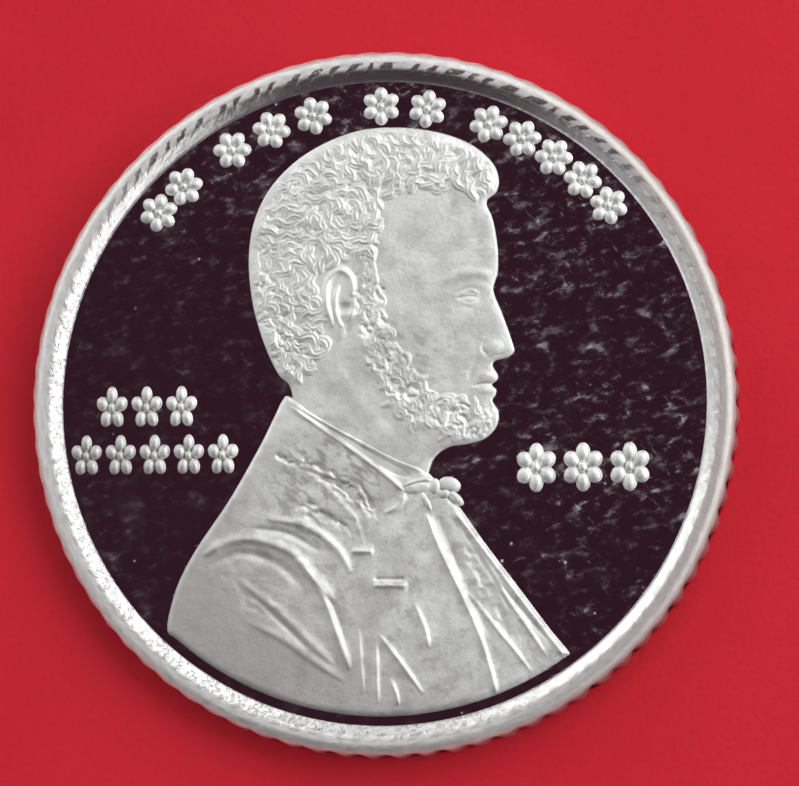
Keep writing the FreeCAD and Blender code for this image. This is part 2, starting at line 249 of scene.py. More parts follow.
def makeRimSilver(size, tones):
    look = Finish(bpy.data.materials.new("rimSilver"))
    out = look.outward()
    flat = out.over(*metres(*size["flat"]))
    nicks = look.noise(0.10, 3, 0.6)
    path = look.around(size["dashRadius"] * mm)
    streaks = look.noise(0.07, 3, 0.6, look.stretched(size["streak"], 0, path))
    uneven = look.noise(0.8, 3, 0.6) * size["dashWander"] + out * (size["dashSlant"] / mm)
    turn = look.split(path, "X") * (size["dashes"] / size["dashRadius"] / mm)
    dashes = (turn + uneven).maths("SINE").over(-0.1, 0.7)
    band = out.within(*metres(*size["dashBand"])) * nicks.over(0.15, 0.5)
    # painted shade: the dashes on the rim are painted near black towards the top of the coin
    paintedShadeTop = look.reach("Y").over(*metres(2.6, 4.6))
    # painted shade: the reeded edge is painted darker below its top, down towards the pad
    wallShadeLow, wallShadeHigh = (coinHigh.z - depth * mm for depth in size["wallShadeTop"])
    wall = (1 - look.reach("Z").over(wallShadeLow, wallShadeHigh)) * out.over(*metres(*size["wall"]))
    # painted shade with a painted pink reflection: the flat band is darker and pinker towards the right
    right = look.reach("X").over(*metres(1.0, 4.8)) * flat
    corner = 1 - (look.reach("X") + look.reach("Y")).over(*metres(-5.0, -1.0))
    grain = look.noise(0.09, 3, 0.65).over(0.50, 0.60) * (1 - flat) * corner
    # painted shade: the inner slope is painted dark brown towards the top of the coin
    slope = look.reach("Y").over(*metres(4.4, 5.4)) * (1 - flat)
    crest = out.within(*metres(*size["crest"])) * dashes
    normal = look.bump(streaks, 0.004)
    normal = look.bump(crest + grain * 2, 0.0035, normal)
    normal = look.bump(nicks, 0.006, normal)
    normal = look.bump(look.noise(0.5, 2), 0.014, normal)
    tone = look.layered(
        look.blend(streaks.over(0.35, 0.65), rgb(*tones["hollow"]), rgb(*tones["bright"])),
        (crest * 0.6, tones["crest"]),
        (grain * 0.50, tones["grain"]),
        # painted shade and painted pink reflection on the right of the flat band
        (right * 0.70, tones["right"]),
        # painted shade on the lower part of the reeded edge
        (wall * 0.7, tones["wall"]),
        # painted shade on the upper inner slope
        (slope * 0.7, tones["slope"]),
        # painted shade on the dashes at the top
        (dashes * band * paintedShadeTop * 0.9, tones["dashes"]),
    )
    roughness = nicks * 0.12 + flat * 0.20 + 0.28
    return look.wear(look.principled(Base_Color=tone, Metallic=1.0, Roughness=roughness, Normal=normal))


def makeRedFoam():
    look = Finish(bpy.data.materials.new("redFoam"))
    pores = look.cells(0.11)
    patches = look.noise(3.5, 3, 0.55)
    fibre = look.noise(0.05, 3, 0.6)
    normal = look.bump(pores, 0.004, look.bump(fibre, 0.003))
    tone = look.blend(patches.over(0.3, 0.7), rgb(0.70, 0.008, 0.023), rgb(0.74, 0.011, 0.028))
    shade = look.blend(pores.over(0.0, 0.5), rgb(0.92, 0.9, 0.9), rgb(1, 1, 1))
    tone = look.blend(1.0, tone, shade, how="MULTIPLY")
    shader = look.principled(Base_Color=tone, Roughness=fibre * 0.2 + 0.62, Normal=normal, Sheen_Weight=0.15,
                             Sheen_Roughness=0.4, Sheen_Tint=rgb(1.0, 0.45, 0.45), Specular_IOR_Level=0.35)
    return look.wear(shader)


def makeClearAcrylic():
    look = Finish(bpy.data.materials.new("clearAcrylic"))
    scuffs = look.noise(0.02, 2, 0.5, look.stretched(50, 20)).over(0.68, 0.8)
    normal = look.bump(look.noise(4, 1), 0.010, look.bump(scuffs, 0.0004))
    glass = {"Color": rgb(0.985, 0.995, 0.99), "IOR": 1.49, "Normal": normal, "Roughness": scuffs * 0.05}
    body = look.add("ShaderNodeBsdfGlass", {}, glass)
    # only camera and transmitted rays bend in the glass, the rest pass straight through
    passing = look.add("ShaderNodeBsdfTransparent", {}, {"Color": rgb(0.95, 0.955, 0.955)})
    ray = look.add("ShaderNodeLightPath", output="Is Camera Ray")
    return look.wear(look.mixShaders(ray.maths("MAXIMUM", ray.twin("Is Transmission Ray")), passing, body))


def makePaleFloor():
    look = Finish(bpy.data.materials.new("paleFloor"))
    tone = look.blend(look.noise(30, 2), rgb(0.74, 0.735, 0.72), rgb(0.78, 0.775, 0.765))
    # clear when seen from underneath
    under = look.add("ShaderNodeNewGeometry", output="Backfacing")
    clear = look.add("ShaderNodeBsdfTransparent")
    return look.wear(look.mixShaders(under, look.principled(Base_Color=tone, Roughness=0.7), clear))


mirrorSilver = makeMirrorSilver(mirrorMarks)
frostSilver = makeFrostSilver(frostTones)
rimSilver = makeRimSilver(rimLook, rimTones)
redFoam = makeRedFoam()
clearAcrylic = makeClearAcrylic()
paleFloor = makePaleFloor()
print("materials made")


def finishMesh(name, bm, materials):
    bmesh.ops.recalc_face_normals(bm, faces=bm.faces)
    mesh = bpy.data.meshes.new(name)
    bm.to_mesh(mesh)
    bm.free()
    for material in materials:
        mesh.materials.append(material)
    for face in mesh.polygons:
        face.use_smooth = True
    piece = bpy.data.objects.new(name, mesh)
    bpy.context.scene.collection.objects.link(piece)
    return piece


def joinCoin(piece):
    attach(piece, "coin")
    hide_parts("coin")


latheDetail = {"roundSteps": 6, "merge": 1e-7}


def lathe(section, steps):  # section: (radius, height, corner cut-back), all in mm, from the axis round to the axis
    bm = bmesh.new()
    corners = [bm.verts.new((radius * mm, 0, height * mm)) for radius, height, cut in section]
    for first, second in zip(corners, corners[1:]):
        bm.edges.new((first, second))
    for corner, (radius, height, cut) in zip(corners, section):
        if cut:
            bmesh.ops.bevel(bm, geom=[corner], offset=cut * mm, affect="VERTICES", segments=latheDetail["roundSteps"],
                            profile=0.5, material=-1, clamp_overlap=False)
    bmesh.ops.spin(bm, geom=bm.verts[:] + bm.edges[:], axis=(0, 0, 1), cent=(0, 0, 0), angle=math.tau,
                   steps=steps, use_merge=True)
    bmesh.ops.remove_doubles(bm, verts=bm.verts, dist=latheDetail["merge"])
    return bm


coinDetail = {
    "radius": 6.0, "fieldRadius": 5.5, "slope": 0.2, "height": 1.05, "sink": 0.12, "support": 0.035,
    "fieldRound": 0.03, "rimFall": 0.006, "innerRound": 0.04, "outerFlat": 0.12, "outerRound": 0.08,
    "bevelDrop": 0.13, "bevelRound": 0.05, "wallRings": (0.20, 0.32),
    "reeds": 80, "reedDepth": 0.080, "stepsPerReed": 12, "shoulder": 0.095, "fade": 0.12, "reedPower": 1.2,
    "wallReach": 0.2, "worn": (0.75, 0.25), "wornTurn": 35, "spread": (0.75, 0.5), "seed": 7, "mirrorEdge": 0.02,
}


def makeCoinBlank(size):
    rim, field, top, sink = size["radius"], size["fieldRadius"], size["height"], size["sink"]
    inner = field + size["slope"]
    half = [  # upper half of the section, from the axis to the reeds
        (0, top - sink, 0), (field - 3 * size["support"], top - sink, 0), (field, top - sink, size["fieldRound"]),
        (inner, top - size["rimFall"], size["innerRound"]), (rim - size["outerFlat"], top, size["outerRound"]),
        (rim, top - size["bevelDrop"], size["bevelRound"]), *((rim, top - drop, 0) for drop in size["wallRings"]),
    ]
    low = [(radius, top - height, cut) for radius, height, cut in reversed(half)]
    reeds = size["reeds"]
    bm = lathe(half + low, reeds * size["stepsPerReed"])
    random = np.random.default_rng(size["seed"])
    mean, swing = size["worn"]
    worn = mean + swing * np.cos(np.arange(reeds) / reeds * math.tau + math.radians(size["wornTurn"]))
    least, extra = size["spread"]
    depths = size["reedDepth"] * (least + extra * random.random(reeds)) * worn * mm
    middle = (top / 2) * mm
    for vert in bm.verts:
        out = vert.co.xy.length
        wall = (middle - abs(vert.co.z - middle) - size["shoulder"] * mm) / (size["fade"] * mm)
        if out < (rim - size["wallReach"]) * mm or wall <= 0:
            continue
        turn = (math.atan2(vert.co.y, vert.co.x) / math.tau * reeds) % reeds
        tooth = abs(math.sin(math.pi * turn)) ** size["reedPower"]
        vert.co.xy *= 1 - depths[int(turn + 0.5) % reeds] * (1 - tooth) * min(wall, 1) / out
    for face in bm.faces:
        out = face.calc_center_median().xy.length
        face.material_index = 1 if out > (field - size["mirrorEdge"]) * mm else 0
    bm.transform(Matrix.Translation((0, 0, coinLow.z)))
    return finishMesh("coinBlank", bm, [mirrorSilver, rimSilver])


joinCoin(makeCoinBlank(coinDetail))
fieldTop = coinHigh.z - coinDetail["sink"] * mm
fieldLow = coinLow.z + coinDetail["sink"] * mm
share = coinDetail["fieldRadius"] * mm  # the design is laid out in shares of the field's radius
print("coin blank turned and reeded")


# the bust is modelled as a height over the field
def smoothLine(points, perSpan, closed=False):
    corners = np.array(points, float)
    if closed:
        padded = np.vstack([corners[-1:], corners, corners[:2]])
    else:
        padded = np.vstack([2 * corners[0] - corners[1], corners, 2 * corners[-1] - corners[-2]])
    steps = np.linspace(0, 1, perSpan, endpoint=False)[:, None]
    line = []
    for before, start, end, after in zip(padded, padded[1:], padded[2:], padded[3:]):
        squared = (2 * before - 5 * start + 4 * end - after) * steps ** 2
        cubed = (3 * start - before - 3 * end + after) * steps ** 3
        line.append(0.5 * (2 * start + (end - before) * steps + squared + cubed))
    if not closed:
        line.append(corners[-1:])
    return np.vstack(line)


def nearestOn(line, x, y):  # distance, share of the way along, side (left is positive) and the nearest point
    gap = np.full(x.shape, np.inf)
    along, side, nearX, nearY = np.zeros((4, *x.shape))
    spans = len(line) - 1
    for index, (start, end) in enumerate(zip(line, line[1:])):
        way = end - start
        reach = np.clip(((x - start[0]) * way[0] + (y - start[1]) * way[1]) / max(way @ way, 1e-12), 0, 1)
        atX, atY = start[0] + reach * way[0], start[1] + reach * way[1]
        here = np.hypot(x - atX, y - atY)
        closer = here < gap
        gap = np.where(closer, here, gap)
        along = np.where(closer, (index + reach) / spans, along)
        side = np.where(closer, np.sign(way[0] * (y - atY) - way[1] * (x - atX)), side)
        nearX, nearY = np.where(closer, atX, nearX), np.where(closer, atY, nearY)
    return gap, along, side, nearX, nearY


def isInside(line, x, y):
    inside = np.zeros(x.shape, bool)
    for start, end in zip(line, line[1:]):
        if start[1] == end[1]:
            continue
        crosses = (start[1] > y) != (end[1] > y)
        inside ^= crosses & (x < (end[0] - start[0]) * (y - start[1]) / (end[1] - start[1]) + start[0])
    return inside


strokeDetail = {"reach": 5, "taper": 0.7, "width": (0.6, 0.4), "crest": 1.6, "skirt": 0.16, "mound": 1.5}
dappleDetail = {"half": (0.6, 2.4), "bend": 0.6, "width": (0.35, 0.8), "depth": (0.4, 1.2)}
lockDetail = {
    "width": (0.35, 0.65), "along": (0.12, 0.86), "fullness": 0.6, "strands": (0.78, 0.22), "strandTurn": (7.5, 0.8),
    "rise": (0.55, 0.45), "lean": 0.8,
}


class Clay:  # a patch of points with a height in mm, worked with strokes
    def __init__(self, x, y, gain, skirt):
        self.x, self.y, self.gain, self.skirt = x, y, gain, skirt
        self.height = np.zeros(x.shape)

    def near(self, line, reach):
        low, high = line.min(0) - reach, line.max(0) + reach
        return np.flatnonzero((self.x > low[0]) & (self.x < high[0]) & (self.y > low[1]) & (self.y < high[1]))

    def mound(self, middle, radii, height, turn=0):
        at = self.near(np.array([middle], float), max(radii))
        x, y = self.x[at] - middle[0], self.y[at] - middle[1]
        cos, sin = math.cos(math.radians(turn)), math.sin(math.radians(turn))
        bulge = np.clip(1 - ((x * cos + y * sin) / radii[0]) ** 2 - ((y * cos - x * sin) / radii[1]) ** 2, 0, 1)
        self.height[at] += self.gain * height * bulge ** strokeDetail["mound"]

    def stroke(self, points, width, height, falls=None, fade=0.25, skirt=None):  # falls: width on the right-hand side
        size = strokeDetail
        skirt = self.skirt if skirt is None else skirt
        line = smoothLine(points, 6)
        at = self.near(line, size["reach"] * max(width, falls or width))
        gap, along, side, _, _ = nearestOn(line, self.x[at], self.y[at])
        wide = np.where(side < 0, falls or width, width)
        ends = np.clip(np.minimum(along, 1 - along) / fade, 0, 1) ** size["taper"] if fade else 1
        least, extra = size["width"]
        crest = np.exp(-(gap / (wide * (least + extra * ends))) ** 2 * size["crest"])
        crest = crest + skirt * np.exp(-(gap / wide) ** 2 * size["skirt"])
        self.height[at] += self.gain * height * crest * ends

    def dapple(self, points, spread, count, depth, random, size=0.011, spin=math.pi / 2):
        line = smoothLine(points, 6)  # short uneven dents are scattered along it
        detail = dappleDetail
        for _ in range(count):
            index = random.integers(len(line) - 1)
            spot = line[index] + random.uniform(-1, 1, 2) * spread
            angle = math.atan2(*(line[index + 1] - line[index])[::-1]) + random.uniform(-spin, spin)
            way = np.array([math.cos(angle), math.sin(angle)]) * random.uniform(*detail["half"]) * size
            bend = np.array([-way[1], way[0]]) * random.uniform(-detail["bend"], detail["bend"])
            width = size * random.uniform(*detail["width"])
            deep = depth * random.uniform(*detail["depth"])
            self.stroke([spot - way, spot + bend, spot + way], width, deep, skirt=0)

    def locks(self, hair, fade=1.0):  # overlapping tufts: (start, middle, end, width, height)
        size = lockDetail
        narrow, swell = size["width"]
        first, span = size["along"]
        plain, strand = size["strands"]
        turns, offset = size["strandTurn"]
        low, rise = size["rise"]
        top = np.zeros(self.x.shape)
        for start, middle, end, width, height in hair:
            line = smoothLine([start, middle, end], 4)
            at = self.near(line, width)
            gap, along, side, _, _ = nearestOn(line, self.x[at], self.y[at])
            body = np.sin(math.pi * np.clip(first + span * along, 0, 1)) ** size["fullness"]
            across = np.clip(gap / (width * (narrow + swell * body)), 0, 1)
            shape = np.sqrt(1 - across ** 2) * (plain + strand * np.cos(across * side * turns + offset))
            lift = low + rise * np.sin(math.pi * along ** size["lean"])
            top[at] = np.maximum(top[at], height * shape * lift)
        self.height += top * fade


reliefDetail = {"foot": 0.02, "root": 0.03}  # height of the outer edge and depth into the field, in mm


def reliefPiece(name, outline, size, sculpt):
    cell, edge, foot = size["cell"], size["edge"], reliefDetail["foot"]
    line = smoothLine(outline, 8, closed=True)
    line = np.vstack([line, line[:1]])
    low, high = line.min(0) - cell, line.max(0) + cell
    columns, rows = np.ceil((high - low) / cell).astype(int)
    bm = bmesh.new()
    bmesh.ops.create_grid(bm, x_segments=int(columns), y_segments=int(rows), size=0.5)
    middle = (low + high) / 2
    bm.transform(Matrix.Translation((*middle, 0)) @ Matrix.Diagonal((columns * cell, rows * cell, 1, 1)))

    def spotsOf(verts):
        return np.array([vert.co[:2] for vert in verts]).T

    inside = isInside(line, *spotsOf(bm.verts))
    bmesh.ops.delete(bm, geom=[vert for vert, keep in zip(bm.verts, inside) if not keep], context="VERTS")
    loose = [vert for vert in bm.verts if not vert.link_faces]
    bmesh.ops.delete(bm, geom=loose, context="VERTS")
    rim = [vert for vert in bm.verts if vert.is_boundary]
    for vert, toX, toY in zip(rim, *nearestOn(line, *spotsOf(rim))[3:]):
        vert.co.x, vert.co.y = toX, toY
    verts = bm.verts[:]
    clay = Clay(*spotsOf(verts), size["gain"], size["skirt"])
    gap = nearestOn(line, clay.x, clay.y)[0]
    sculpt(clay, gap)
    # the outer edge is rounded over
    rise = np.sqrt(np.clip(1 - (1 - np.clip(gap / edge, 0, 1)) ** 2, 0, 1))
    height = foot + (clay.height - foot) * rise
    for vert, up in zip(verts, height):
        vert.co.z = up * mm / share
    border = [e for e in bm.edges if e.is_boundary]
    walls = bmesh.ops.extrude_edge_only(bm, edges=border)["geom"]
    for vert in walls:
        if isinstance(vert, bmesh.types.BMVert):
            vert.co.z = -reliefDetail["root"] * mm / share
    bottom = [e for e in walls if isinstance(e, bmesh.types.BMEdge) and e.is_boundary]
    bmesh.ops.contextual_create(bm, geom=bottom)
    bm.transform(Matrix.Translation((0, 0, fieldTop)) @ Matrix.Scale(share, 4))
    piece = finishMesh(name, bm, [frostSilver])
    joinCoin(piece)
    print(name, len(piece.data.polygons), "faces")


headOutline = [
    # throat and beard
    (0.12, -0.32), (0.135, -0.235), (0.155, -0.175), (0.20, -0.140), (0.262, -0.130), (0.316, -0.112),
    (0.350, -0.074), (0.354, -0.032), (0.336, 0.002),
    # lips and nose
    (0.344, 0.018), (0.348, 0.036), (0.334, 0.052), (0.350, 0.066), (0.352, 0.083), (0.337, 0.110),
    (0.346, 0.126), (0.382, 0.136), (0.403, 0.154), (0.399, 0.178), (0.370, 0.262), (0.340, 0.338),
    # brow and crown
    (0.345, 0.374), (0.353, 0.404), (0.352, 0.480), (0.338, 0.562), (0.318, 0.618), (0.348, 0.648),
    (0.356, 0.690), (0.335, 0.742), (0.270, 0.798), (0.170, 0.836), (0.050, 0.853), (-0.070, 0.846),
    (-0.185, 0.806), (-0.285, 0.742), (-0.362, 0.655), (-0.406, 0.552), (-0.419, 0.440),
    # back of the head and neck
    (-0.408, 0.320), (-0.384, 0.225), (-0.352, 0.140), (-0.322, 0.085), (-0.290, 0.052), (-0.276, -0.020),
    (-0.255, -0.130), (-0.180, -0.290), (-0.030, -0.350),
]
hairLine = [
    (0.315, 0.622), (0.250, 0.652), (0.150, 0.668), (0.050, 0.655), (-0.010, 0.600), (-0.028, 0.520),
    (-0.022, 0.450), (-0.050, 0.435), (-0.110, 0.450), (-0.175, 0.420), (-0.205, 0.330), (-0.195, 0.240),
    (-0.180, 0.165), (-0.215, 0.115), (-0.290, 0.052),
]
headDetail = {
    "cell": 0.0029, "edge": 0.034, "gain": 1.5, "skirt": 0.0, "plate": 0.045, "swell": 0.022, "swellReach": 0.12,
    "hairBorder": (0.006, 0.026), "hairFoot": 0.15, "seed": 21,
}
tuftDetail = {  # columns and rows are the ground covered, swirl is (middle, swing, scatter) of the lie of the hair
    "columns": (-0.44, 0.38), "rows": (0.04, 0.88), "pitch": 0.031, "rowPitch": 0.8, "jitter": 0.3,
    "crown": (-0.10, 0.60), "swirl": (0.7, 0.9, 0.7), "length": 0.050, "lengths": (0.7, 1.2), "bends": (0.2, 0.42),
    "width": 0.0165, "widths": (0.7, 1.15), "height": 0.038, "heights": (0.6, 1.1),
}
curlDetail = {
    "count": 350, "lie": -math.pi / 2.4, "scatter": 0.9, "length": 0.036, "lengths": (0.7, 1.3), "bends": (0.25, 0.5),
    "width": 0.0105, "widths": (0.7, 1.3), "height": 0.030, "heights": (0.6, 1.1),
}


def lock(size, x, y, angle, random):  # start, middle, end, width and height of one bent tuft
    length = size["length"] * random.uniform(*size["lengths"])
    bend = random.choice([-1, 1]) * random.uniform(*size["bends"]) * length
    way = np.array([math.cos(angle), math.sin(angle)])
    across = np.array([-way[1], way[0]])
    start = np.array([x, y]) - way * length / 2
    return (start, np.array([x, y]) + across * bend, start + way * length,
            size["width"] * random.uniform(*size["widths"]), size["height"] * random.uniform(*size["heights"]))


def tufts(size, random):
    region = smoothLine(headOutline, 4, closed=True)
    limit = np.vstack([smoothLine(hairLine, 4), [(-0.6, 0.0), (-0.6, 1.0), (0.5, 1.0), (0.5, 0.62), hairLine[0]]])
    pitch, jitter = size["pitch"], size["jitter"]
    xs, ys = np.meshgrid(np.arange(*size["columns"], pitch), np.arange(*size["rows"], pitch * size["rowPitch"]))
    xs = xs + (np.arange(len(ys))[:, None] % 2) * pitch / 2
    xs = xs + random.uniform(-jitter, jitter, xs.shape) * pitch
    ys = ys + random.uniform(-jitter, jitter, ys.shape) * pitch
    keep = isInside(np.vstack([region, region[:1]]), xs, ys) & isInside(limit, xs, ys)
    middle, swing, scatter = size["swirl"]
    result = []
    for x, y in zip(xs[keep], ys[keep]):
        away = math.atan2(y - size["crown"][1], x - size["crown"][0])
        wave = swing * math.sin(13 * x + 5 * y) * math.cos(11 * y - 3 * x)
        result.append(lock(size, x, y, away + middle + wave + random.uniform(-scatter, scatter), random))
    return result


def curls(size, path, widths, random):
    line = smoothLine(path, 8)
    result = []
    for _ in range(size["count"]):
        along = random.uniform(0, 1)
        spot = line[int(along * (len(line) - 1))]
        width = np.interp(along, np.linspace(0, 1, len(widths)), widths)
        x, y = spot + random.uniform(-1, 1, 2) * width
        result.append(lock(size, x, y, random.uniform(-size["scatter"], size["scatter"]) + size["lie"], random))
    return result


def sculptHead(clay, gap):
    size = headDetail
    random = np.random.default_rng(size["seed"])
    clay.height += size["plate"] + size["swell"] * (1 - np.exp(-gap / size["swellReach"]))
    # broad forms of the skull, cheek, jaw and neck
    clay.mound((-0.10, 0.45), (0.34, 0.42), 0.014)
    clay.mound((0.16, 0.26), (0.17, 0.13), 0.010, -20)
    clay.mound((0.10, 0.52), (0.10, 0.12), -0.006)
    clay.mound((0.06, 0.10), (0.20, 0.10), 0.006, -35)
    clay.mound((-0.08, -0.06), (0.16, 0.16), -0.012)
    # brow, eye and lids
    clay.stroke([(0.345, 0.380), (0.29, 0.397), (0.22, 0.390), (0.17, 0.360)], 0.020, 0.011)
    clay.mound((0.275, 0.327), (0.055, 0.036), -0.014)
    clay.mound((0.268, 0.321), (0.034, 0.024), 0.015)
    clay.stroke([(0.300, 0.331), (0.268, 0.344), (0.226, 0.323)], 0.007, 0.009)
    clay.stroke([(0.298, 0.310), (0.268, 0.299), (0.228, 0.314)], 0.006, 0.006)
    clay.stroke([(0.296, 0.321), (0.262, 0.325), (0.230, 0.319)], 0.004, -0.007)
    # nose wing, nostril, lips
    clay.mound((0.344, 0.164), (0.032, 0.030), 0.010, 20)
    clay.stroke([(0.318, 0.194), (0.306, 0.164), (0.324, 0.140)], 0.007, -0.008)
    clay.stroke([(0.368, 0.145), (0.350, 0.141)], 0.006, -0.008, fade=0)
    clay.stroke([(0.296, 0.144), (0.274, 0.100), (0.266, 0.062)], 0.012, -0.005)
    clay.mound((0.326, 0.074), (0.040, 0.019), 0.008, -12)
    clay.mound((0.322, 0.035), (0.036, 0.017), 0.008, 8)
    clay.stroke([(0.346, 0.053), (0.312, 0.055), (0.274, 0.047)], 0.006, -0.011)
    # ear
    ear = Vector((-0.125, 0.292))

    def atEar(*spots):
        return [(ear.x + across, ear.y + up) for across, up in spots]

    clay.mound(ear, (0.075, 0.125), 0.012, 100)
    fold = atEar((0.030, 0.035), (0.026, 0.090), (-0.008, 0.118), (-0.046, 0.085), (-0.052, 0.020), (-0.030, -0.060))
    clay.stroke(fold, 0.012, 0.030, fade=0.12)
    clay.stroke(atEar((-0.012, 0.075), (-0.024, 0.030), (-0.018, -0.030), (0.000, -0.060)), 0.009, 0.016)
    clay.mound(atEar((0.008, 0.0))[0], (0.022, 0.040), -0.024, 95)
    clay.mound(atEar((-0.010, -0.072))[0], (0.024, 0.036), 0.014)
    clay.stroke(atEar((0.036, 0.030), (0.030, -0.010), (0.018, -0.040)), 0.009, 0.016)
    # cord of the neck and the edge of the jaw
    clay.stroke([(-0.150, 0.120), (-0.060, -0.020), (0.060, -0.150)], 0.030, 0.006)
    clay.stroke([(-0.060, 0.140), (0.010, 0.030), (0.100, -0.050), (0.180, -0.085)], 0.020, 0.006)
    near, far = size["hairBorder"]
    clay.locks(tufts(tuftDetail, random), fade=np.clip((gap - near) / (far - near), size["hairFoot"], 1))
    beard = [(-0.055, 0.450), (-0.045, 0.340), (-0.030, 0.230), (-0.005, 0.130), (0.050, 0.040), (0.130, -0.025),
             (0.230, -0.055), (0.315, -0.045)]
    clay.locks(curls(curlDetail, beard, [0.012, 0.018, 0.034, 0.050, 0.056, 0.058, 0.056, 0.044], random))
    clay.dapple(beard[1:], 0.045, 45, -0.020, random)
    clay.dapple([(-0.37, 0.40), (-0.33, 0.25), (-0.27, 0.13)], 0.05, 30, -0.012, random)


reliefPiece("bustHead", headOutline, headDetail, sculptHead)


def arcPoints(radius, start, end, count):
    angles = np.radians(np.linspace(start, end, count))
    return [(radius * math.cos(angle), radius * math.sin(angle)) for angle in angles]


coatDetail = {
    "cell": 0.0031, "edge": 0.020, "gain": 1.5, "skirt": 0.35, "plate": 0.070, "swell": 0.014, "swellReach": 0.10,
    "cutOff": 0.967, "seed": 5,
}
coatOutline = arcPoints(coatDetail["cutOff"], 228.5, 305.5, 14) + [
    (0.572, -0.776), (0.512, -0.702), (0.412, -0.568), (0.310, -0.433), (0.238, -0.330), (0.205, -0.296),
    (0.168, -0.250), (0.120, -0.205), (0.040, -0.172), (-0.080, -0.108), (-0.200, -0.040), (-0.288, 0.020),
    (-0.312, 0.012), (-0.338, -0.040), (-0.388, -0.140), (-0.478, -0.297), (-0.575, -0.440), (-0.632, -0.545),
    (-0.662, -0.640), (-0.668, -0.700),
]


